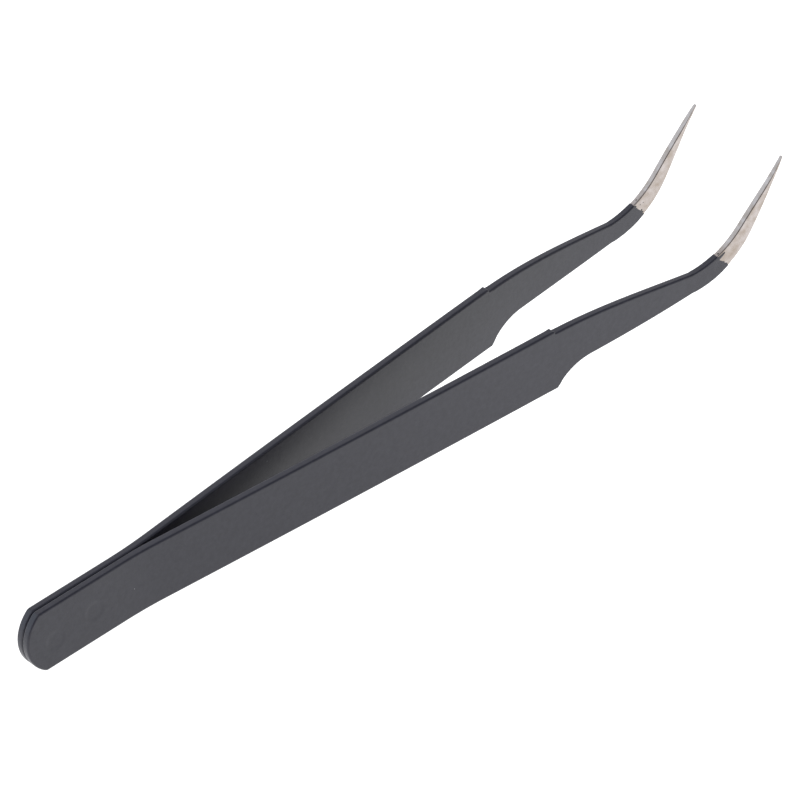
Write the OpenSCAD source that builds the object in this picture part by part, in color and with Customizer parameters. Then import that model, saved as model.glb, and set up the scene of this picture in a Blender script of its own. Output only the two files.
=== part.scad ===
// Curved fine-point tweezers. Two stamped spring-steel arms are spot-welded together
// at the heel and dipped in a black coat that stops short of the bare, upturned points.
// +X runs from the heel to the points, the arms open along Y, and +Z is up from the
// lower edges that the tweezers stand on. The origin is below the middle of their length.

/* [Handle] */
// Length from the heel to the points, over the coat
overall_l = 120; // [114:1:128]
// Height of the steel strip along the handle
strip_w = 8.8; // [8.2:0.1:9.6]
// Thickness of the steel strip along the handle
strip_t = 1.04; // [0.96:0.02:1.2]
// Radius of the rounded heel end
heel_r = 5.4; // [5:0.1:9]
// Distance from the heel end to the small step in the upper edge
step_x = 81.4; // [78:0.2:86]
// Drop of the small step in the upper edge
step_h = 0.35; // [0.1:0.05:0.5]

/* [Neck] */
// Height of the relief cut under the neck
relief_h = 2.5; // [1.6:0.1:2.8]
// Radius of the relief cut that leaves the shoulder
relief_r = 7.5; // [5:0.5:10]
// Distance from the heel end to the end of the relief cut's curve
relief_x = 86.6; // [86:0.2:90]
// Thickness of the steel strip along the neck
neck_t = 0.88; // [0.7:0.02:0.96]

/* [Points] */
// Distance from the heel end to the start of the bend
bend_x = 103.3; // [102:0.1:105]
// Height of the strip's centre line at the start of the bend
bend_z = 4.24; // [4.1:0.02:4.4]
// Width of the strip at the start of the bend
bend_w = 2.8; // [2.4:0.1:3]
// Radius of the bend along its centre line
bend_r = 11.9; // [10:0.1:12.5]
// Angle that the points turn up by, from level
point_angle = 46; // [42:1:50]
// Angle that the neck's centre line dips by, on its way to the bend
neck_dip = 3.7; // [3:0.1:4.5]
// Width of a point at its very end
tip_w = 0.24; // [0.16:0.02:0.4]
// Thickness of a point at its very end
tip_t = 0.36; // [0.24:0.02:0.5]

/* [Opening] */
// Length of the heel along which the arms lie flat together
joined_l = 15; // [13:0.5:17]
// Length of the bend that spreads the arms apart
spread_l = 6; // [4:0.5:8]
// Angle of each arm just after that bend, from straight ahead
spread_angle = 5.65; // [4.5:0.05:6.5]
// Part of that angle that eases off along the handle
handle_ease = 1.03; // [0.5:0.01:1.5]
// Part of that angle that eases off along the neck
neck_ease = 2.68; // [2:0.02:3]

/* [Coat and welds] */
// Thickness of the coat
coat_t = 0.07; // [0.05:0.01:0.1]
// Distance along the bend at which the coat stops
coat_end_s = 5.4; // [4.4:0.2:6.4]
// Tilt of the coat's edge, from level
coat_end_angle = 41; // [30:1:50]
// Diameter of each spot weld's nugget
nugget_d = 2.4; // [1.5:0.1:3]
// Depth of each nugget into each arm
nugget_depth = 0.6; // [0.3:0.05:0.7]

/* [Flexing] */
// Distance from the heel end to the line about which an arm's outer stretch turns
flex_x = 31; // [26:0.5:36]
// Squeeze on the arms, as the angle that each one turns by: the points meet at about 5.05
squeeze = 0; // [0:0.05:5.05]

/* [Hidden] */

RIGHT = -1;
LEFT = 1;
STEEL = "silver";
COAT = "#3b3b40";

// Each weld's place, as distances from the heel end and from the steel's lower edge
WELDS = [[4.1, 3.7], [10.4, 4.4]];
// Slit between the heel's stretch of an arm and the stretch that turns
FLEX_SLIT = 0.02;
// How the width falls off along the points: more of the first keeps them wide for longer,
// and more of the second draws them out finer
LEAF_POWER = 3;
FINE_POWER = 2;
// The same for the thickness, which falls off on the outer face only, close to the tips
THINNING_POWER = 7;
// Width that the strip loses per millimetre just before the bend
NECK_TAPER = 0.226;
// Length, from the relief cut on, in which the arms ease towards each other
NECK_EASE_L = 23;
// Distance past the start of the bend at which the points begin to thin
THINNING_START = 5;
// Steps in each curved stretch of an outline
CURVE_STEPS = 12;
// Length of a cutting block, well past the whole object
FAR = 300;

steel_l = overall_l - coat_t;
bend_turn = point_angle + neck_dip;
bend_l = bend_r * bend_turn * PI / 180;
bend_end = [bend_x + bend_r * (sin(point_angle) + sin(neck_dip)),
            bend_z + bend_r * (cos(neck_dip) - cos(point_angle))];
straight_l = (steel_l - bend_end[0] - tip_w / 2 * sin(point_angle)) / cos(point_angle);
point_l = bend_l + straight_l;

// ---- Side view: the outline of a strip, seen along Y ----

// Direction, place and width of the strip at a distance s past the start of the bend
function point_dir(s) = min(s / bend_l, 1) * bend_turn - neck_dip;
function point_centre(s) =
    s < bend_l
    ? [bend_x + bend_r * (sin(point_dir(s)) + sin(neck_dip)),
       bend_z + bend_r * (cos(neck_dip) - cos(point_dir(s)))]
    : bend_end + (s - bend_l) * [cos(point_angle), sin(point_angle)];
function point_w(s) =
    tip_w + (bend_w - tip_w) * pow(1 - pow(min(s / point_l, 1), LEAF_POWER), FINE_POWER);

// A point on the upper edge (side 1) or lower edge (side -1), moved out by grow
function point_edge(s, side, grow) =
    point_centre(s) + side * (point_w(s) / 2 + grow) * [-sin(point_dir(s)), cos(point_dir(s))];

point_s = concat(
    [for (i = [0 : CURVE_STEPS - 1]) bend_l * i / CURVE_STEPS],
    [for (i = [0 : CURVE_STEPS]) bend_l + straight_l * i / CURVE_STEPS]);

// A cubic curve from point a to point b, level at a and at slope m at b
function eased(a, b, m) =
    let (run = b[0] - a[0])
    [for (i = [0 : CURVE_STEPS - 1])
        let (u = i / CURVE_STEPS, rise = u * u * (3 - 2 * u), lead = u * u * (u - 1))
        [a[0] + run * u, a[1] + (b[1] - a[1]) * rise + run * m * lead]];

// The neck's edges, from the relief cut below and from the step above, on to the bend
function neck_bottom(grow) =
    eased([relief_x, relief_h - grow], point_edge(0, -1, grow), NECK_TAPER / 2 - tan(neck_dip));
function neck_top(grow) =
    eased([step_x + grow, strip_w - step_h + grow], point_edge(0, 1, grow),
          -NECK_TAPER / 2 - tan(neck_dip));

// The relief cut's arc, from the shoulder to its highest place
function relief(grow) =
    let (r = relief_r - grow, a0 = acos((r - relief_h) / r))
    [for (i = [0 : CURVE_STEPS])
        let (a = a0 * (1 - i / CURVE_STEPS))
        [relief_x - r * sin(a), relief_h - grow - r * (1 - cos(a))]];

// The heel's arc, from the upper edge round to the lower edge
function heel(grow) =
    let (r = heel_r + grow, a0 = asin((strip_w / 2 + grow) / r))
    [for (i = [0 : CURVE_STEPS])
        let (a = a0 * (1 - 2 * i / CURVE_STEPS)) [heel_r - r * cos(a), strip_w / 2 + r * sin(a)]];

function reversed(list) = [for (i = [len(list) - 1 : -1 : 0]) list[i]];

module side_outline(grow = 0) {
    lower = [for (s = point_s) point_edge(s, -1, grow)];
    upper = [for (s = point_s) point_edge(s, 1, grow)];
    polygon(concat(
        heel(grow),
        relief(grow),
        neck_bottom(grow),
        lower,
        reversed(upper),
        reversed(neck_top(grow)),
        [[step_x + grow, strip_w + grow]]));
}

// ---- Plan view: the outline of an arm, seen along Z ----

// Integral of a slope that rises evenly from 0 to 1 between a and b
function ramp(x, a, b) =
    x <= a ? 0 : x >= b ? x - (a + b) / 2 : (x - a) * (x - a) / (2 * (b - a));

// Distance from the middle plane to an arm's steel inner face
spread_end = joined_l + spread_l;
function inner_y(x) =
    tan(spread_angle) * ramp(x, joined_l, spread_end)
    - tan(handle_ease) * ramp(x, spread_end, relief_x)
    - tan(neck_ease) * ramp(x, relief_x, relief_x + NECK_EASE_L);

// Thickness of an arm's steel: the handle, then the neck, then a point
function fraction(x, a, b) = min(max((x - a) / (b - a), 0), 1);
function strip_thickness(x) =
    strip_t - (strip_t - neck_t) * fraction(x, step_x, bend_x)
    - (neck_t - tip_t) * pow(fraction(x, bend_x + THINNING_START, steel_l), THINNING_POWER);

// Places along X: close together on the bends, further apart on the straight stretches
function spaced(a, b, steps) = [for (i = [1 : steps]) a + (b - a) * i / steps];
plan_x = concat(
    [-1, joined_l],
    spaced(joined_l, spread_end, 6),
    spaced(spread_end, step_x, 6),
    spaced(step_x, bend_x, 8),
    spaced(bend_x, steel_l + 1, 16));

module plan_outline(side, grow = 0) {
    inner = [for (x = plan_x) [x, side * max(inner_y(x) - grow, 0)]];
    outer = [for (x = plan_x) [x, side * (inner_y(x) + strip_thickness(x) + grow)]];
    polygon(concat(inner, reversed(outer)));
}

// ---- Solids ----

// A whole arm from heel to point, as bare steel or grown by the coat
module whole_arm(side, grow = 0) {
    intersection() {
        translate([0, 0, -1]) linear_extrude(strip_w * 3) plan_outline(side, grow);
        rotate([90, 0, 0]) translate([0, 0, -FAR / 2]) linear_extrude(FAR) side_outline(grow);
    }
}

// The stretch of what is inside from the heel to the flexing line, or past that line
module heel_stretch() {
    intersection() {
        children();
        translate([-FAR, -FAR / 2, -FAR / 2]) cube([FAR + flex_x - FLEX_SLIT, FAR, FAR]);
    }
}

module arm_stretch() {
    intersection() {
        children();
        translate([flex_x, -FAR / 2, -FAR / 2]) cube(FAR);
    }
}

// Everything past the coat's edge, where the points are bare
module bare_side() {
    edge = point_centre(coat_end_s);
    translate([edge[0], 0, edge[1]]) rotate([0, -coat_end_angle, 0])
        translate([0, -FAR / 2, -FAR / 2]) cube(FAR);
}

module nuggets() {
    for (weld = WELDS)
        translate([weld[0], 0, weld[1]]) rotate([90, 0, 0])
            cylinder(h = 2 * nugget_depth, d = nugget_d, center = true, $fn = 48);
}

// Puts the steel's own corner, where the heel end meets the lower edge's height, in place
module placed() {
    translate([coat_t - overall_l / 2, 0, coat_t]) children();
}

// Turns an arm inwards about the flexing line on its own inner face
module squeezed(side) {
    hinge = [flex_x, side * (inner_y(flex_x) - coat_t), 0];
    translate(hinge) rotate([0, 0, -side * squeeze]) translate(-hinge) children();
}

module heel_steel(side) {
    color(STEEL) placed() difference() {
        heel_stretch() whole_arm(side);
        nuggets();
    }
}

module arm_steel(side) {
    color(STEEL) placed() squeezed(side) arm_stretch() whole_arm(side);
}

module arm_coat(side) {
    color(COAT) placed() squeezed(side) difference() {
        arm_stretch() whole_arm(side, coat_t);
        whole_arm(side);
        bare_side();
    }
}

module right_heel() { heel_steel(RIGHT); }
module left_heel() { heel_steel(LEFT); }

module weld_nuggets() { color(STEEL) placed() nuggets(); }

module heel_coat() {
    color(COAT) placed() difference() {
        heel_stretch() for (side = [RIGHT, LEFT]) whole_arm(side, coat_t);
        for (side = [RIGHT, LEFT]) whole_arm(side);
    }
}

module right_arm() { arm_steel(RIGHT); }
module left_arm() { arm_steel(LEFT); }
module right_arm_coat() { arm_coat(RIGHT); }
module left_arm_coat() { arm_coat(LEFT); }

right_heel();
left_heel();
weld_nuggets();
heel_coat();
right_arm();
left_arm();
right_arm_coat();
left_arm_coat();
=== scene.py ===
"""Curved fine-point tweezers: the finished surfaces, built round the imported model."""

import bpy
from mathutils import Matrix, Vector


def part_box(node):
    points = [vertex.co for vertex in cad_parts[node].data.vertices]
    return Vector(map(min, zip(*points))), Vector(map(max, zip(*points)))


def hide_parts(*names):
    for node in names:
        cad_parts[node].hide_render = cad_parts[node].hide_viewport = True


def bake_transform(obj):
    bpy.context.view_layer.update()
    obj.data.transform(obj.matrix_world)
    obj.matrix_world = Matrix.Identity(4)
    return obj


bl_info = {
    "name": "Curved Tweezers",
    "version": (1, 0, 0),
    "blender": (4, 5, 0),
    "location": "View3D > Sidebar > Tweezers",
    "description": "Builds black-coated curved tweezers with bare steel points",
    "category": "Add Mesh",
}

import bmesh
import bpy
import numpy as np
from mathutils import Matrix, Vector

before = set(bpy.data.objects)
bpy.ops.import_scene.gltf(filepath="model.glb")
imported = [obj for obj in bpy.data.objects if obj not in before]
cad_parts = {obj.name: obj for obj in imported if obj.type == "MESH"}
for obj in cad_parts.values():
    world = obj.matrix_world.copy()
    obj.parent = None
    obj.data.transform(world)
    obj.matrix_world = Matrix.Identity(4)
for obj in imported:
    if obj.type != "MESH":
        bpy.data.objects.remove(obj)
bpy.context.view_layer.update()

MM = 0.001
RIGHT, LEFT = -1, 1
SIDES = {"right": RIGHT, "left": LEFT}
STEEL_LOW, STEEL_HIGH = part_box("right_heel")
FILM_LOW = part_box("heel_coat")[0]
POINT_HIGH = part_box("right_arm")[1]
WELD_LOW, WELD_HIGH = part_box("weld_nuggets")


def linear(code):
    """A linear RGB colour from an sRGB hex value such as "#2a2b2e"."""
    srgb = np.array([int(code[i : i + 2], 16) for i in (1, 3, 5)]) / 255
    low, high = srgb / 12.92, ((srgb + 0.055) / 1.055) ** 2.4
    return tuple(float(c) for c in np.where(srgb <= 0.04045, low, high))


def length(name, description, millimetres):
    """A length property. Its default is given in millimetres."""
    return bpy.props.FloatProperty(
        name=name, description=description, default=millimetres * MM, unit="LENGTH", precision=6
    )


def angle(name, description, degrees):
    """An angle property. Its default is given in degrees."""
    return bpy.props.FloatProperty(
        name=name, description=description, default=float(np.radians(degrees)), subtype="ANGLE"
    )


def colour(name, description, code):
    """A colour property. Its default is an sRGB hex value."""
    return bpy.props.FloatVectorProperty(
        name=name, description=description, default=linear(code), subtype="COLOR", min=0, max=1
    )


def number(name, description, value):
    """A plain number property."""
    return bpy.props.FloatProperty(name=name, description=description, default=value)


class StripSizes(bpy.types.PropertyGroup):
    """Sizes of one arm's steel strip. Places along it are measured from its heel end."""

    height: length("Height", "Height of the strip along the handle", (STEEL_HIGH - STEEL_LOW).z / MM)
    thickness: length("Thickness", "Thickness of the strip along the handle", 1.04)
    heel_radius: length("Heel radius", "Radius of the rounded heel end", 5.4)
    step_place: length("Step place", "Where the small step in the upper edge is", 81.4)
    step_drop: length("Step drop", "Height of that step", 0.35)
    relief_rise: length("Relief rise", "Height of the relief cut under the neck", 2.5)
    relief_radius: length("Relief radius", "Radius of the relief cut", 7.5)
    relief_end: length("Relief end", "Where the relief cut's curve ends", 86.6)
    neck_thickness: length("Neck thickness", "Thickness of the strip along the neck", 0.88)
    neck_dip: angle("Neck dip", "Angle that the neck dips by towards the bend", 3.7)
    neck_taper: number("Neck taper", "Width lost for each unit of length before the bend", 0.226)
    bend_start: length("Bend start", "Where the bend starts", 103.3)
    bend_height: length("Bend height", "Height of the centre line where the bend starts", 4.24)
    bend_width: length("Bend width", "Width of the strip where the bend starts", 2.8)
    bend_radius: length("Bend radius", "Radius of the bend along the centre line", 11.9)
    point_angle: angle("Point angle", "Angle that the points turn up by", 46)
    tip_width: length("Tip width", "Width of a point at its very end", 0.24)
    tip_thickness: length("Tip thickness", "Thickness of a point at its very end", 0.36)
    spread_start: length("Spread start", "Where the arms leave each other", 15)
    spread_length: length("Spread length", "Length of the bend that spreads them", 6)
    spread_angle: angle("Spread angle", "Angle of each arm just after that bend", 5.65)
    handle_ease: angle("Handle ease", "Part of that angle that eases off along the handle", 1.03)
    neck_ease: angle("Neck ease", "Part of that angle that eases off along the neck", 2.68)
    edge_radius: length("Edge radius", "Radius of the strip's tumbled edges", 0.2)
    ground_outer: length("Ground outer radius", "Radius of the ground point's outer edges", 0.22)
    ground_inner: length("Ground inner radius", "Radius of the ground point's inner edges", 0.2)


class FilmSizes(bpy.types.PropertyGroup):
    """Sizes of the coat on one arm."""

    thickness: length("Thickness", "Thickness of the coat", (STEEL_LOW - FILM_LOW).z / MM)
    end_thickness: length("End thickness", "Thickness that the coat thins to at its edge", 0.04)
    end: length("End", "How far past the start of the bend the coat stops", 5.2)
    end_tilt: angle("End tilt", "Tilt of the coat's edge against the strip", 17)
    ragged: length("Ragged edge", "How far the coat's edge wanders", 0.07)
    tongue: length("Tongue", "Length of the tongue of coat left beside the right arm's corner", 1.25)
    weld_radius: length("Weld mark radius", "Radius of the mark that each weld leaves", 1.45)
    weld_depth: length("Weld mark depth", "Depth of the mark that each weld leaves", 0.04)


class Finishes(bpy.types.PropertyGroup):
    """Colours of the materials."""

    coat: colour("Coat", "The black coat", "#1f1f2b")
    haze: colour("Haze", "Hazier patches of the coat", "#292934")
    nib: colour("Nib", "Dust nibs in the coat", "#8a8c90")
    steel: colour("Steel", "The ground steel of the points", "#b1aaa7")
    steel_warm: colour("Warm steel", "Slightly tinted patches of that steel", "#968b81")
    residue: colour("Residue", "Specks of coat left on the ground steel", "#22211f")
    weld: colour("Weld", "The fused metal of the spot welds", "#8f8b88")
    table: colour("Table", "The opal sheet of the light table", "#5c5c5c")
    wall_foot: colour("Wall foot", "The bright walls round the table, at the horizon", "#dfdfdf")
    wall: colour("Wall", "The same walls higher up", "#d5d5db")
    lamp: colour("Lamp", "The brightest part of the walls, on the left behind", "#ecf5ff")
    gap: colour("Gap", "The dim gap overhead, on the camera's side", "#8a8c93")
    opening: colour("Opening", "The dark opening that the camera looks in through", "#69696b")


class StageSizes(bpy.types.PropertyGroup):
    """Where the camera stands."""

    azimuth: angle("Azimuth", "Direction of the camera: 0 looks along +Y", -36.57)
    elevation: angle("Elevation", "Height of the camera above the horizon", 38.87)
    roll: angle("Roll", "Turn of the camera about its own line of sight", -7.03)
    distance: length("Distance", "From the camera to what it looks at", 1000)
    lens: number("Lens", "Focal length in millimetres", 360.3)
    aim: bpy.props.FloatVectorProperty(
        name="Aim",
        description="How far right of and above the middle the camera looks, and the middle's height",
        default=(0.954 * MM, 0.735 * MM, 6.2 * MM),
        subtype="TRANSLATION",
    )


# ---- The shape of an arm, in metres from the strip's heel end and lower edge ----


def ramp(x, a, b):
    """Integral up to x of a slope that rises evenly from 0 to 1 between a and b."""
    inside = np.clip(x, a, b)
    return (inside - a) ** 2 / (2 * (b - a)) + np.maximum(x - b, 0)


def inner_face(x, s):
    """Distance from the middle plane to the steel's inner face: the spread angle comes in along
    a short bend, and part of it eases off again along the handle and then along the neck."""
    spread_end = s.spread_start + s.spread_length
    ease_length = 23 * MM
    return (
        np.tan(s.spread_angle) * ramp(x, s.spread_start, spread_end)
        - np.tan(s.handle_ease) * ramp(x, spread_end, s.relief_end)
        - np.tan(s.neck_ease) * ramp(x, s.relief_end, s.relief_end + ease_length)
    )


def thickness(x, s):
    """Thickness of the steel at x: even along the handle, thinning evenly along the neck, and
    thinning with a power of the distance along the point, so mostly close to the tip."""
    power, lead = 7, 5 * MM
    end = POINT_HIGH.x - STEEL_LOW.x
    neck = np.clip((x - s.step_place) / (s.bend_start - s.step_place), 0, 1)
    point = np.clip((x - s.bend_start - lead) / (end - s.bend_start - lead), 0, 1)
    thinned = (s.neck_thickness - s.tip_thickness) * point**power
    return s.thickness - (s.thickness - s.neck_thickness) * neck - thinned


def edge_rounding(x, outer, s):
    """Radius of the strip's edges at x: even along the handle, tighter just round the step's sharp
    corner, and turning along the bend into the ground point's outer or inner radius."""
    step_reach, share_lost_there = 0.5 * MM, 0.55
    lead, blend_length = 2 * MM, 6 * MM
    at_step = np.exp(-(((x - s.step_place) / step_reach) ** 2))
    ground = np.clip((x - s.bend_start - lead) / blend_length, 0, 1)
    end = np.where(outer, s.ground_outer, s.ground_inner)
    return s.edge_radius * (1 - share_lost_there * at_step) + (end - s.edge_radius) * ground


def corner(at, before, after, cut, steps=6):
    """The corner `at` rounded by a quadratic curve, from `cut` before it to `cut` after it."""
    at, before, after = (np.array(p, float) for p in (at, before, after))
    start = at + cut * (before - at) / np.linalg.norm(before - at)
    end = at + cut * (after - at) / np.linalg.norm(after - at)
    u = np.linspace(0, 1, steps + 1)[:, None]
    return (1 - u) ** 2 * start + 2 * u * (1 - u) * at + u**2 * end


def eased(a, b, slope, steps=40):
    """A cubic curve from a to b, level at a and at the given slope at b."""
    u = np.linspace(0, 1, steps + 1)
    run, rise = b[0] - a[0], b[1] - a[1]
    z = a[1] + rise * u**2 * (3 - 2 * u) + run * slope * u**2 * (u - 1)
    return np.stack([a[0] + run * u, z], axis=1)


def heel_stretch(s, end):
    """Upper and lower edge of the heel up to `end`: an arc from its middle to a rounded corner,
    then straight."""
    half, cut = s.height / 2, 0.25 * MM
    wide = np.arcsin(half / s.heel_radius)
    a = np.linspace(0, wide - cut / s.heel_radius, 30)
    arc = np.stack([s.heel_radius * (1 - np.cos(a)), half + s.heel_radius * np.sin(a)], axis=1)
    at = (s.heel_radius * (1 - np.cos(wide)), s.height)
    upper = np.concatenate([arc, corner(at, arc[-1], (end, s.height), cut), [[end, s.height]]])
    return upper, upper * (1, -1) + (0, s.height)


def point_stretch(s):
    """Upper and lower edge from the start of the bend to the tip: a centre line that turns along
    an arc and runs on straight, and on each side of it half of a width. The share of width lost
    is a power of the distance, what is left is that share's power, and it closes as a half
    circle."""
    leaf_power, fine_power, tip_round = 3, 2, 0.12 * MM
    in_bend, beyond, in_tip = 24, 40, 7
    turn = s.point_angle + s.neck_dip
    bend = s.bend_radius * turn
    bend_end = s.bend_start + s.bend_radius * (np.sin(s.point_angle) + np.sin(s.neck_dip))
    reach = POINT_HIGH.x - STEEL_LOW.x - s.tip_width / 2 * np.sin(s.point_angle)
    total = bend + (reach - bend_end) / np.cos(s.point_angle)
    d = np.concatenate([
        np.linspace(0, bend, in_bend),
        np.linspace(bend, total - tip_round, beyond)[1:],
        total - tip_round * (1 - np.sin(np.linspace(0, np.pi / 2, in_tip)[1:])),
    ])
    a = np.minimum(d / bend, 1) * turn - s.neck_dip
    along = np.maximum(d - bend, 0)[:, None] * (np.cos(s.point_angle), np.sin(s.point_angle))
    arc = np.stack([np.sin(a) + np.sin(s.neck_dip), np.cos(s.neck_dip) - np.cos(a)], axis=1)
    centre = (s.bend_start, s.bend_height) + s.bend_radius * arc + along
    left = (1 - np.minimum(d / total, 1) ** leaf_power) ** fine_power
    width = s.tip_width + (s.bend_width - s.tip_width) * left
    closing = np.clip((d - total + tip_round) / tip_round, 0, 1)
    width *= np.sqrt(1 - closing**2)
    out = np.stack([-np.sin(a), np.cos(a)], axis=1) * width[:, None] / 2
    return centre + out, centre - out


def neck_stretch(s, start, upper_end, lower_end):
    """Upper and lower edge from the handle to the bend: above, the small step and a cubic curve;
    below, the shoulder, the relief cut's arc and a cubic curve."""
    top, low = s.height, s.height - s.step_drop
    cut = s.step_drop * 0.45
    dip, taper = np.tan(s.neck_dip), s.neck_taper / 2
    curve = eased((s.step_place, low), upper_end, -taper - dip)
    upper = np.concatenate([
        [[start, top]],
        corner((s.step_place, top), (start, top), (s.step_place, low), cut),
        corner((s.step_place, low), (s.step_place, top), curve[1], cut),
        curve[1:],
    ])
    wide, shoulder_cut = np.arccos(1 - s.relief_rise / s.relief_radius), 0.2 * MM
    a = np.linspace(wide - shoulder_cut / s.relief_radius, 0, 24)
    arc = np.stack([s.relief_end - s.relief_radius * np.sin(a),
                    s.relief_rise - s.relief_radius * (1 - np.cos(a))], axis=1)
    shoulder = (s.relief_end - s.relief_radius * np.sin(wide), 0)
    lower = np.concatenate([
        [[start, 0]],
        corner(shoulder, (start, 0), arc[0], shoulder_cut),
        arc[1:],
        eased((s.relief_end, s.relief_rise), lower_end, taper - dip)[1:],
    ])
    return upper, lower


def distances(points):
    """Distance along a line of points, at each of them."""
    return np.append(0, np.cumsum(np.linalg.norm(np.diff(points, axis=0), axis=1)))


def paired(upper, lower, spacing):
    """Both edges of a stretch at the same shares of their own lengths: the shares of all their
    points, and more so that none are further apart than spacing."""
    finest = 0.02 * MM
    along = [distances(edge) for edge in (upper, lower)]
    whole = along[0][-1]
    even = np.linspace(0, 1, int(np.ceil(whole / spacing)) + 1)
    shares = np.concatenate([even] + [a / a[-1] for a in along])
    shares = np.unique(np.round(shares * whole / finest)) * finest / whole
    shares = np.append(shares[shares < 1 - finest / whole], 1)
    return [np.stack([np.interp(shares, a / a[-1], e[:, k]) for k in (0, 1)], axis=1)
            for a, e in zip(along, (upper, lower))]


def edge_normals(edge, turn):
    """Unit normals of an edge at its points, each the mean of its two segments' normals: turn is
    1 for the left of the way along it, and -1 for the right."""
    step = np.diff(edge, axis=0)
    n = turn * np.stack([-step[:, 1], step[:, 0]], axis=1) / np.linalg.norm(step, axis=1)[:, None]
    n = np.concatenate([n[:1], n[:-1] + n[1:], n[-1:]])
    return n / np.linalg.norm(n, axis=1)[:, None]


def side_view(s):
    """The strip seen from the side, as stations from heel to tip, closest together under the weld
    marks. Each is a row: place along the centre line, upper edge's point and normal, lower
    edge's point and normal. Also gives the place where the bend starts."""
    heel_end, marks_end, spread_done, neck_start = 6 * MM, 13 * MM, 24 * MM, 79 * MM
    at_marks, at_curves, at_handle = 0.2 * MM, 0.5 * MM, 1.2 * MM
    point = point_stretch(s)
    neck = neck_stretch(s, neck_start, point[0][0], point[1][0])

    def straight(a, b):
        return np.array([(a, s.height), (b, s.height)]), np.array([(a, 0), (b, 0)])

    pairs = [paired(*edges, spacing) for edges, spacing in (
        (heel_stretch(s, heel_end), at_marks),
        (straight(heel_end, marks_end), at_marks),
        (straight(marks_end, spread_done), at_curves),
        (straight(spread_done, neck_start), at_handle),
        (neck, at_curves))] + [point]
    upper, lower = (np.concatenate([pairs[0][k]] + [p[k][1:] for p in pairs[1:]]) for k in (0, 1))
    up, down = edge_normals(upper, 1), edge_normals(lower, -1)
    up[0] = down[0] = (-1, 0)
    up[-1] = down[-1] = (np.cos(s.point_angle), np.sin(s.point_angle))
    centre = (upper + lower) / 2
    place = distances(centre)
    bend_place = place[-len(point[0])]
    return np.column_stack([place, upper, up, lower, down]), bend_place


def section(rows):
    """The loop of points round a strip's section, as four numbers for each point: share of the
    way from the upper to the lower edge, share of the edge radius that it lies in from the
    edge, share of the half thickness without the edges, and share of the edge radius added to
    that. It runs over the upper edge, down the outer face, under the lower edge, up the inner."""
    corner_points, flat_points, hold = 6, 3, 0.004
    turns = np.linspace(0, np.pi / 2, corner_points)
    corner_in, corner_out = 1 - np.cos(turns), np.sin(turns)
    # Rows close to the edges hold the shading of the flat faces flat
    face = (1 - np.cos(np.linspace(0, np.pi, rows + 2)[1:-1])) / 2
    face = np.concatenate([[hold], face[1:-1], [1 - hold]])
    flat = np.linspace(-1, 1, flat_points + 2)[1:-1]

    def part(share, inset, across, bulge):
        return np.column_stack(np.broadcast_arrays(share, inset, across, bulge)).astype(float)

    return np.concatenate([
        part(0, 0, flat, 0),
        part(0, corner_in, 1, corner_out),
        part(face, 1, 1, 1),
        part(1, corner_in[::-1], 1, corner_out[::-1]),
        part(1, 0, flat[::-1], 0),
        part(1, corner_in, -1, -corner_out),
        part(face[::-1], 1, -1, -1),
        part(0, corner_in[::-1], -1, -corner_out[::-1]),
    ])


def arm_surface(place, loop, side, s, grow=0, dimple=None):
    """Points of an arm's surface. `place` is a grid of places along the centre line, one column
    for each point of the section's loop. At each, the edges' points move out by grow and in by
    the loop's share of the radius, and the point lies between the two; across the thickness it
    is the mid face, plus its share of the half thickness, plus its share of the radius. The two
    arms' surfaces stay apart where they are pressed together, and a hair inside the solids."""
    point_rounding = 0.24
    coat_apart, steel_apart, hair = 0.002 * MM, 0.012 * MM, 0.001 * MM
    stations = side_view(s)[0]
    at = [np.interp(place, stations[:, 0], stations[:, k]) for k in range(1, 9)]
    upper, up, lower, down = (np.stack(at[k : k + 2], axis=-1) for k in (0, 2, 4, 6))
    share, inset, across, bulge = loop.T
    x = np.interp(place, stations[:, 0], (stations[:, 1] + stations[:, 5]) / 2)
    width = np.linalg.norm(upper - lower, axis=-1)
    in_point = x > s.bend_start
    closing = np.clip(width / s.tip_width, 0, 1) * in_point + 1 - in_point
    room = point_rounding * np.where(in_point, np.minimum(width, thickness(x, s) * closing), 1)
    radius = np.minimum(edge_rounding(x, across > 0, s) + grow, room)
    out = (grow - inset * radius)[..., None]
    flat = upper + up * out + ((lower + down * out) - (upper + up * out)) * share[:, None]
    steel_inner = inner_face(flat[..., 0], s)
    inner = np.maximum(np.maximum(steel_inner, steel_apart) - grow, coat_apart)
    outer = steel_inner + thickness(flat[..., 0], s) + grow - hair
    half = (outer - inner) / 2 * closing
    y = (inner + outer) / 2 + across * (half - radius) + bulge * radius
    if dimple is not None:
        y = y - dimple(flat[..., 0], flat[..., 1]) * (bulge == 1)
    return np.stack([flat[..., 0] + STEEL_LOW.x, side * y, flat[..., 1] + STEEL_LOW.z], axis=-1)


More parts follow.
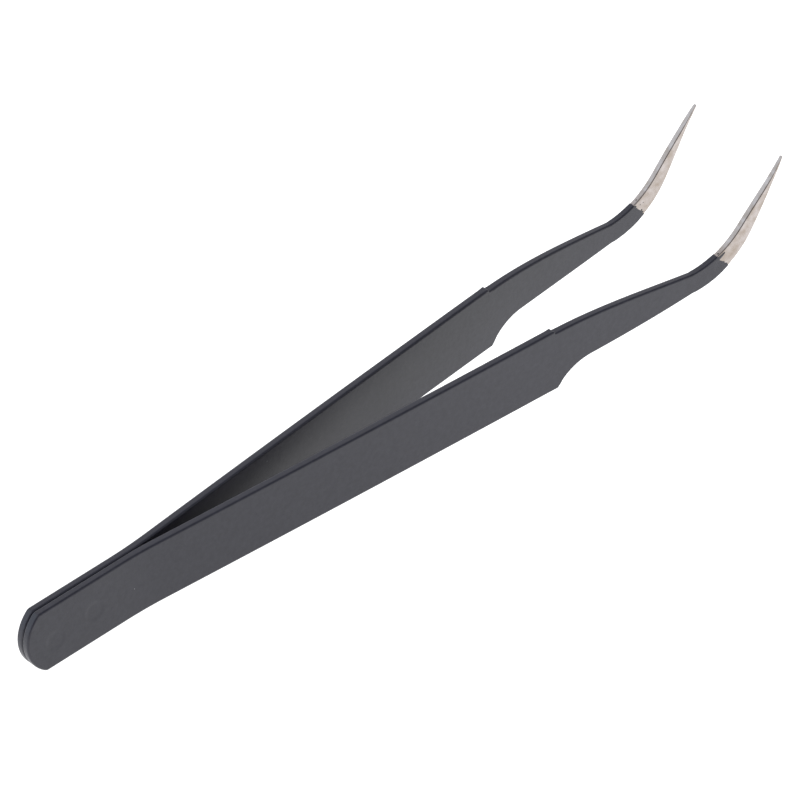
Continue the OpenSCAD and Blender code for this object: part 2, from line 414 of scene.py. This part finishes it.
def lay_grid(name, points, along, around):
    """A mesh object from a grid of points whose rows are closed loops. Its UV map holds the
    distances along and around, in metres. Doubled points are merged and faces look outwards."""
    doubled = 0.0002 * MM
    rows, columns = points.shape[:2]
    i, j = (k.ravel() for k in np.mgrid[: rows - 1, :columns])
    after = (j + 1) % columns
    corners = np.stack([i * columns + j, (i + 1) * columns + j,
                        (i + 1) * columns + after, i * columns + after], axis=1)
    mesh = bpy.data.meshes.new(name)
    mesh.from_pydata(points.reshape(-1, 3).tolist(), [], corners.tolist())
    uv = np.stack([
        np.stack([along[i, j], along[i + 1, j], along[i + 1, after], along[i, after]], axis=1),
        np.stack([around[j], around[j], around[j + 1], around[j + 1]], axis=1),
    ], axis=-1)
    mesh.uv_layers.new(name="along_around").data.foreach_set("uv", uv.astype(np.float32).ravel())
    work = bmesh.new()
    work.from_mesh(mesh)
    bmesh.ops.remove_doubles(work, verts=work.verts, dist=doubled)
    bmesh.ops.recalc_face_normals(work, faces=work.faces)
    work.to_mesh(mesh)
    work.free()
    mesh.shade_smooth()
    piece = bpy.data.objects.new(name, mesh)
    bpy.context.scene.collection.objects.link(piece)
    return piece


def around_loop(points):
    """Distances round a closed loop of points, from its first point back to it."""
    return distances(np.concatenate([points, points[:1]]))


def weld_marks(sizes):
    """The height taken from the outer face by the spot welds' marks: a shallow flat disc over
    each weld nugget, with a soft rim that eases as a cubic. One nugget is at the nuggets' lowest
    corner, and the other at their highest."""
    nugget_radius, rim = 1.2 * MM, 0.25 * MM
    low, high = WELD_LOW - STEEL_LOW, WELD_HIGH - STEEL_LOW
    middles = ((low.x + nugget_radius, low.z + nugget_radius),
               (high.x - nugget_radius, high.z - nugget_radius))

    def depth(x, z):
        inside = [np.clip((sizes.weld_radius - np.hypot(x - at_x, z - at_z)) / rim, 0, 1)
                  for at_x, at_z in middles]
        return sizes.weld_depth * sum(i**2 * (3 - 2 * i) for i in inside)

    return depth


def flexes(piece):
    """Bakes the piece's placement into its mesh, and gives the piece back."""
    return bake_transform(piece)


def make_strip(hand, s):
    """One arm's steel strip, heel to tip: the section's loop at every station."""
    face_rows = 14
    stations, _ = side_view(s)
    loop = section(face_rows)
    place = np.repeat(stations[:, :1], len(loop), axis=1)
    points = arm_surface(place, loop, SIDES[hand], s)
    around = around_loop(points[len(points) // 2])
    piece = lay_grid(f"{hand}_strip", points, place, around)
    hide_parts(f"{hand}_heel", f"{hand}_arm")
    return flexes(piece)


def ragged_end(loop, sizes, hand, around, bend_place):
    """Where the coat ends at each point of the loop: tilted across the strip, wandering as a sum
    of three waves, with a tongue beside one upper corner: the outer one on the right arm, and
    the inner one on the left, where it is short."""
    phase, face, tongue_share = {"right": (0.4, 1, 1), "left": (2.1, -1, 0.3)}[hand]
    strip_width, tongue_place, tongue_half = 2.4 * MM, 0.38 * MM, 0.21 * MM
    share, _, across, _ = loop.T
    around, whole = around[:-1], around[-1]
    waves = sum(size * np.sin(2 * np.pi * cycles * around / whole + phase * cycles)
                for size, cycles in ((1, 3), (0.7, 7), (0.5, 12)))
    edge = np.flatnonzero((share == 0) & (across == face))
    middle = around[edge[len(edge) // 2]] + face * tongue_place
    tongue = np.exp(-(((around - middle) / tongue_half) ** 4))
    return (
        bend_place
        + sizes.end
        + np.tan(sizes.end_tilt) * (share - 0.5) * strip_width
        + sizes.ragged * waves
        + sizes.tongue * tongue_share * tongue
    )


def make_film(hand, s, sizes):
    """The coat on one arm: a thin shell, whose outer skin runs from the heel to a ragged end, turns
    over a rounded rim there and comes back as an inner skin on the steel. The outer skin thins
    with the square of its share of the ragged stretch, where its rows close up to the rim."""
    face_rows, ragged_rows, closing_up = 40, 15, 1.5
    ragged_stretch, least = 3.4 * MM, 0.004 * MM
    stations, bend_place = side_view(s)
    loop = section(face_rows)
    side = SIDES[hand]
    start = bend_place + ragged_stretch
    lead = stations[stations[:, 0] < start, 0]
    first = np.full((1, len(loop)), start)
    around = around_loop(arm_surface(first, loop, side, s, sizes.thickness)[0])
    end = ragged_end(loop, sizes, hand, around, bend_place)
    shares = 1 - np.linspace(1, 0, ragged_rows)[:, None] ** closing_up
    skin_place = np.concatenate([
        np.repeat(lead[:, None], len(loop), axis=1),
        start + shares * (end - start),
    ])
    thinned = np.append(np.zeros(len(lead)), shares)[:, None] ** 2
    skin_grow = sizes.thickness + (sizes.end_thickness - sizes.thickness) * thinned
    turn = np.radians([[30], [60], [90]])
    rim_place = end + sizes.end_thickness * np.sin(turn)
    rim_grow = least + (sizes.end_thickness - least) * np.cos(turn)
    back_place = skin_place[::-2]
    places = np.concatenate([skin_place, rim_place, back_place])
    grow = np.concatenate([skin_grow, rim_grow, np.full((len(back_place), 1), least)])
    on_skin = np.arange(len(places))[:, None] < len(skin_place)
    marks = weld_marks(sizes)
    points = arm_surface(places, loop, side, s, grow, lambda x, z: on_skin * marks(x, z))
    piece = lay_grid(f"{hand}_coat_film", points, places, around)
    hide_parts(f"{hand}_arm_coat", "heel_coat")
    return flexes(piece)


# ---- Materials ----


def add(tree, kind, settings=(), links=()):
    """Adds a node of a kind to the tree. Settings are by attribute or input name, and links join
    an input to another node's output."""
    node = tree.nodes.new(kind)
    for key, value in dict(settings).items():
        if isinstance(key, str) and hasattr(node, key):
            setattr(node, key, value)
        else:
            node.inputs[key].default_value = value
    for key, source in dict(links).items():
        tree.links.new(source, node.inputs[key])
    return node


def new_material(name):
    """A material with an empty tree and its output node."""
    material = bpy.data.materials.new(name)
    material.use_nodes = True
    tree = material.node_tree
    tree.nodes.clear()
    return material, tree


def finish(tree, shader):
    """Joins a shader to the material's output."""
    add(tree, "ShaderNodeOutputMaterial", links={"Surface": shader.outputs["BSDF"]})


def baked_epoxy(f):
    """Black epoxy enamel, sprayed and baked: a satin skin with fine orange peel, faint haze, a
    slightly uneven gloss, and a few pale dust nibs."""
    material, tree = new_material("baked_black_epoxy")
    place = add(tree, "ShaderNodeTexCoord").outputs["Object"]
    peel_width, haze_width, mottle_width = 0.45 * MM, 0.7 * MM, 5 * MM
    nib_spacing, nib_radius = 3.4 * MM, 0.08 * MM
    peel = add(tree, "ShaderNodeTexNoise", {"Scale": 1 / peel_width, "Detail": 3, "Roughness": 0.6},
               {"Vector": place})
    mottle = add(tree, "ShaderNodeTexNoise", {"Scale": 1 / mottle_width, "Detail": 2},
                 {"Vector": place})
    nibs = add(tree, "ShaderNodeTexVoronoi", {"Scale": 1 / nib_spacing}, {"Vector": place})
    nib = add(tree, "ShaderNodeMapRange",
              {"From Min": nib_radius / nib_spacing, "From Max": 0.5 * nib_radius / nib_spacing},
              {"Value": nibs.outputs["Distance"]})
    rough = add(tree, "ShaderNodeMapRange", {"To Min": 0.29, "To Max": 0.39},
                {"Value": mottle.outputs["Fac"]})
    haze = add(tree, "ShaderNodeTexNoise", {"Scale": 1 / haze_width, "Detail": 4}, {"Vector": place})
    hazy = add(tree, "ShaderNodeMapRange", {"From Min": 0.3, "From Max": 0.7},
               {"Value": haze.outputs["Fac"]})
    film = add(tree, "ShaderNodeMix", {"data_type": "RGBA", 6: (*f.coat, 1), 7: (*f.haze, 1)},
               {"Factor": hazy.outputs["Result"]})
    skin = add(tree, "ShaderNodeMix", {"data_type": "RGBA", 7: (*f.nib, 1)},
               {"Factor": nib.outputs["Result"], 6: film.outputs[2]})
    bump = add(tree, "ShaderNodeBump", {"Strength": 1, "Distance": 0.012 * MM},
               {"Height": peel.outputs["Fac"]})
    shader = add(tree, "ShaderNodeBsdfPrincipled", {"IOR": 1.5},
                 {"Base Color": skin.outputs[2], "Roughness": rough.outputs["Result"],
                  "Normal": bump.outputs["Normal"]})
    finish(tree, shader)
    return material


def ground_steel(f, bare_place):
    """Stainless steel, ground along the point on a fine belt: grey with warmer patches, fine
    scratches that follow the strip, and a few dark specks of coat where the grinding began."""
    material, tree = new_material("ground_stainless_steel")
    place = add(tree, "ShaderNodeTexCoord").outputs["Object"]
    strip = add(tree, "ShaderNodeUVMap", {"uv_map": "along_around"}).outputs["UV"]
    # A belt's scratches are about 0.02 mm apart; 0.12 mm is the finest that shows
    scratch_length, scratch_gap, patch_width = 2.4 * MM, 0.12 * MM, 1.1 * MM
    speck_spacing, speck_radius, speck_reach = 0.7 * MM, 0.23 * MM, 1.9 * MM
    drawn = add(tree, "ShaderNodeMapping", {"Scale": (1 / scratch_length, 1 / scratch_gap, 1)},
                {"Vector": strip})
    scratches = add(tree, "ShaderNodeTexNoise", {"Scale": 1, "Detail": 4, "Roughness": 0.65},
                    {"Vector": drawn.outputs["Vector"]})
    patches = add(tree, "ShaderNodeTexNoise", {"Scale": 1 / patch_width, "Detail": 4},
                  {"Vector": place})
    tint = add(tree, "ShaderNodeMapRange", {"From Min": 0.32, "From Max": 0.72},
               {"Value": patches.outputs["Fac"]})
    skin = add(tree, "ShaderNodeMix", {"data_type": "RGBA", 6: (*f.steel, 1), 7: (*f.steel_warm, 1)},
               {"Factor": tint.outputs["Result"]})
    # Specks shrink to nothing over a short reach past the coat's edge
    cells = add(tree, "ShaderNodeTexVoronoi", {"Scale": 1 / speck_spacing}, {"Vector": place})
    along = add(tree, "ShaderNodeSeparateXYZ", links={"Vector": strip})
    reach = add(tree, "ShaderNodeMapRange",
                {"From Min": bare_place, "From Max": bare_place + speck_reach,
                 "To Min": speck_radius / speck_spacing, "To Max": 0},
                {"Value": along.outputs["X"]})
    over = add(tree, "ShaderNodeMath", {"operation": "SUBTRACT"},
               {0: reach.outputs["Result"], 1: cells.outputs["Distance"]})
    speck = add(tree, "ShaderNodeMapRange", {"From Max": 0.05}, {"Value": over.outputs["Value"]})
    soiled = add(tree, "ShaderNodeMix", {"data_type": "RGBA", 7: (*f.residue, 1)},
                 {"Factor": speck.outputs["Result"], 6: skin.outputs[2]})
    metal = add(tree, "ShaderNodeMath", {"operation": "SUBTRACT", 0: 1},
                {1: speck.outputs["Result"]})
    rough = add(tree, "ShaderNodeMapRange", {"To Min": 0.2, "To Max": 0.36},
                {"Value": scratches.outputs["Fac"]})
    bump = add(tree, "ShaderNodeBump", {"Strength": 1, "Distance": 0.004 * MM},
               {"Height": scratches.outputs["Fac"]})
    shader = add(tree, "ShaderNodeBsdfPrincipled", links={
        "Base Color": soiled.outputs[2], "Metallic": metal.outputs["Value"],
        "Roughness": rough.outputs["Result"], "Normal": bump.outputs["Normal"]})
    finish(tree, shader)
    return material


def fused_metal(f):
    """Steel melted and set again in a spot weld: dull, with a slightly grainy surface."""
    material, tree = new_material("fused_weld_metal")
    grain_width = 0.2 * MM
    place = add(tree, "ShaderNodeTexCoord").outputs["Object"]
    grain = add(tree, "ShaderNodeTexNoise", {"Scale": 1 / grain_width}, {"Vector": place})
    rough = add(tree, "ShaderNodeMapRange", {"To Min": 0.45, "To Max": 0.65},
                {"Value": grain.outputs["Fac"]})
    shader = add(tree, "ShaderNodeBsdfPrincipled", {"Metallic": 1, "Base Color": (*f.weld, 1)},
                 {"Roughness": rough.outputs["Result"]})
    finish(tree, shader)
    return material


def lit_opal(f):
    """The opal acrylic sheet of a light table: matt, faintly grained, and glowing from the lamps
    below it, a little more towards the points, so that things on it throw hardly any shadow."""
    material, tree = new_material("lit_opal_acrylic")
    grain_width, dim_end, bright_end = 1.5 * MM, -25 * MM, 28 * MM
    place = add(tree, "ShaderNodeTexCoord").outputs["Object"]
    grain = add(tree, "ShaderNodeTexNoise", {"Scale": 1 / grain_width, "Detail": 3},
                {"Vector": place})
    rough = add(tree, "ShaderNodeMapRange", {"To Min": 0.85, "To Max": 0.95},
                {"Value": grain.outputs["Fac"]})
    along = add(tree, "ShaderNodeSeparateXYZ", links={"Vector": place})
    glow = add(tree, "ShaderNodeMapRange",
               {"interpolation_type": "SMOOTHSTEP", "From Min": dim_end, "From Max": bright_end,
                "To Min": 1.23, "To Max": 1.5},
               {"Value": along.outputs["X"]})
    shader = add(tree, "ShaderNodeBsdfPrincipled",
                 {"Base Color": (*f.table, 1), "Specular IOR Level": 0.1,
                  "Emission Color": (1, 1, 1, 1)},
                 {"Roughness": rough.outputs["Result"], "Emission Strength": glow.outputs["Result"]})
    finish(tree, shader)
    return material


# ---- Stage ----


def turned(azimuth, elevation, roll):
    """The camera's right, up and back, from where it stands and how it is turned."""
    turn = Matrix.Rotation(azimuth, 3, "Z") @ Matrix.Rotation(np.pi / 2 - elevation, 3, "X")
    return (turn @ Matrix.Rotation(roll, 3, "Z")).col


def place_camera(t):
    """A long lens far away, so that the lines hardly converge."""
    right, up, back = turned(t.azimuth, t.elevation, t.roll)
    middle = Vector((0, 0, t.aim[2]))
    at = middle + t.aim[0] * right + t.aim[1] * up + t.distance * back
    camera = bpy.data.cameras.new("camera")
    camera.lens, camera.sensor_width = t.lens, 36
    camera.clip_start, camera.clip_end = 10 * MM, 20000 * MM
    seat = bpy.data.objects.new("camera", camera)
    seat.matrix_world = Matrix.Translation(at) @ Matrix((right, up, back)).transposed().to_4x4()
    bpy.context.scene.collection.objects.link(seat)
    bpy.context.scene.camera = seat


def lay_floor(f):
    """A wide flat light table, a hair below the lower edges that the tweezers stand on."""
    reach, gap = 4.0, 0.01 * MM
    mesh = bpy.data.meshes.new("floor")
    corners = [(x * reach, y * reach, -gap) for x, y in ((-1, -1), (1, -1), (1, 1), (-1, 1))]
    mesh.from_pydata(corners, [], [(0, 1, 2, 3)])
    mesh.materials.append(lit_opal(f))
    floor = bpy.data.objects.new("floor", mesh)
    bpy.context.scene.collection.objects.link(floor)


def surround(f):
    """A studio with bright walls all round, a little dimmer higher up, and brightest on the left
    behind. They leave a dim gap overhead, and a dark opening that the camera looks in through."""
    world = bpy.data.worlds.new("studio")
    world.use_nodes = True
    tree = world.node_tree
    tree.nodes.clear()
    way = add(tree, "ShaderNodeTexCoord").outputs["Generated"]
    split = add(tree, "ShaderNodeSeparateXYZ", links={"Vector": way})
    height = add(tree, "ShaderNodeMapRange", {"interpolation_type": "SMOOTHSTEP", "From Max": 0.4},
                 {"Value": split.outputs["Z"]})
    light = add(tree, "ShaderNodeMix",
                {"data_type": "RGBA", 6: (*f.wall_foot, 1), 7: (*f.wall, 1)},
                {"Factor": height.outputs["Result"]})
    # Each patch: its colour, the way to its middle, and the cosines of the angles from there to
    # where it starts and to where it is full
    for shade, middle, starts, full in ((f.lamp, (-0.72, 0.55, 0.42), 0.6, 0.88),
                                        (f.gap, (0.45, -0.35, 0.82), 0.6, 0.85),
                                        (f.opening, (-0.54, -0.77, 0.34), 0.72, 0.9)):
        toward = add(tree, "ShaderNodeVectorMath",
                     {"operation": "DOT_PRODUCT", 1: Vector(middle).normalized()}, {0: way})
        patch = add(tree, "ShaderNodeMapRange",
                    {"interpolation_type": "SMOOTHSTEP", "From Min": starts, "From Max": full},
                    {"Value": toward.outputs["Value"]})
        light = add(tree, "ShaderNodeMix", {"data_type": "RGBA", 7: (*shade, 1)},
                    {"Factor": patch.outputs["Result"], 6: light.outputs[2]})
    sky = add(tree, "ShaderNodeBackground", {"Strength": 1.45}, {"Color": light.outputs[2]})
    add(tree, "ShaderNodeOutputWorld", links={"Surface": sky.outputs["Background"]})
    bpy.context.scene.world = world


# ---- The add-on ----


class TWEEZERS_OT_strips(bpy.types.Operator):
    """Make both arms' steel strips, from the heel to the bare points"""

    bl_idname = "tweezers.strips"
    bl_label = "Steel Strips"

    def execute(self, context):
        scene = context.scene
        bare_place = side_view(scene.tweezer_strip)[1] + scene.tweezer_film.end
        steel = ground_steel(scene.tweezer_finishes, bare_place)
        for hand in SIDES:
            make_strip(hand, scene.tweezer_strip).data.materials.append(steel)
        return {"FINISHED"}


class TWEEZERS_OT_coat(bpy.types.Operator):
    """Make the black coat on both arms"""

    bl_idname = "tweezers.coat"
    bl_label = "Black Coat"

    def execute(self, context):
        scene = context.scene
        epoxy = baked_epoxy(scene.tweezer_finishes)
        for hand in SIDES:
            make_film(hand, scene.tweezer_strip, scene.tweezer_film).data.materials.append(epoxy)
        return {"FINISHED"}


class TWEEZERS_OT_welds(bpy.types.Operator):
    """Give the two weld nuggets inside the heel their metal"""

    bl_idname = "tweezers.welds"
    bl_label = "Weld Nuggets"

    def execute(self, context):
        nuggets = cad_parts["weld_nuggets"]
        nuggets.data.materials.clear()
        nuggets.data.materials.append(fused_metal(context.scene.tweezer_finishes))
        return {"FINISHED"}


class TWEEZERS_OT_stage(bpy.types.Operator):
    """Set up the floor, the lights and the camera"""

    bl_idname = "tweezers.stage"
    bl_label = "Stage"

    def execute(self, context):
        lay_floor(context.scene.tweezer_finishes)
        surround(context.scene.tweezer_finishes)
        place_camera(context.scene.tweezer_stage)
        context.scene.view_settings.view_transform = "Standard"
        return {"FINISHED"}


class TWEEZERS_PT_panel(bpy.types.Panel):
    """Lists the pieces that the add-on makes"""

    bl_label = "Curved Tweezers"
    bl_idname = "TWEEZERS_PT_panel"
    bl_space_type = "VIEW_3D"
    bl_region_type = "UI"
    bl_category = "Tweezers"

    def draw(self, context):
        for operator in OPERATORS:
            self.layout.operator(operator.bl_idname)


GROUPS = {
    "tweezer_strip": StripSizes,
    "tweezer_film": FilmSizes,
    "tweezer_finishes": Finishes,
    "tweezer_stage": StageSizes,
}
OPERATORS = (TWEEZERS_OT_strips, TWEEZERS_OT_coat, TWEEZERS_OT_welds, TWEEZERS_OT_stage)
CLASSES = (*GROUPS.values(), *OPERATORS, TWEEZERS_PT_panel)


def register():
    for cls in CLASSES:
        bpy.utils.register_class(cls)
    for name, group in GROUPS.items():
        setattr(bpy.types.Scene, name, bpy.props.PointerProperty(type=group))


def unregister():
    for name in GROUPS:
        delattr(bpy.types.Scene, name)
    for cls in reversed(CLASSES):
        bpy.utils.unregister_class(cls)


def main():
    """Registers the add-on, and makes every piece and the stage."""
    register()
    bpy.ops.tweezers.strips()
    bpy.ops.tweezers.coat()
    bpy.ops.tweezers.welds()
    bpy.ops.tweezers.stage()


if __name__ == "__main__":
    main()
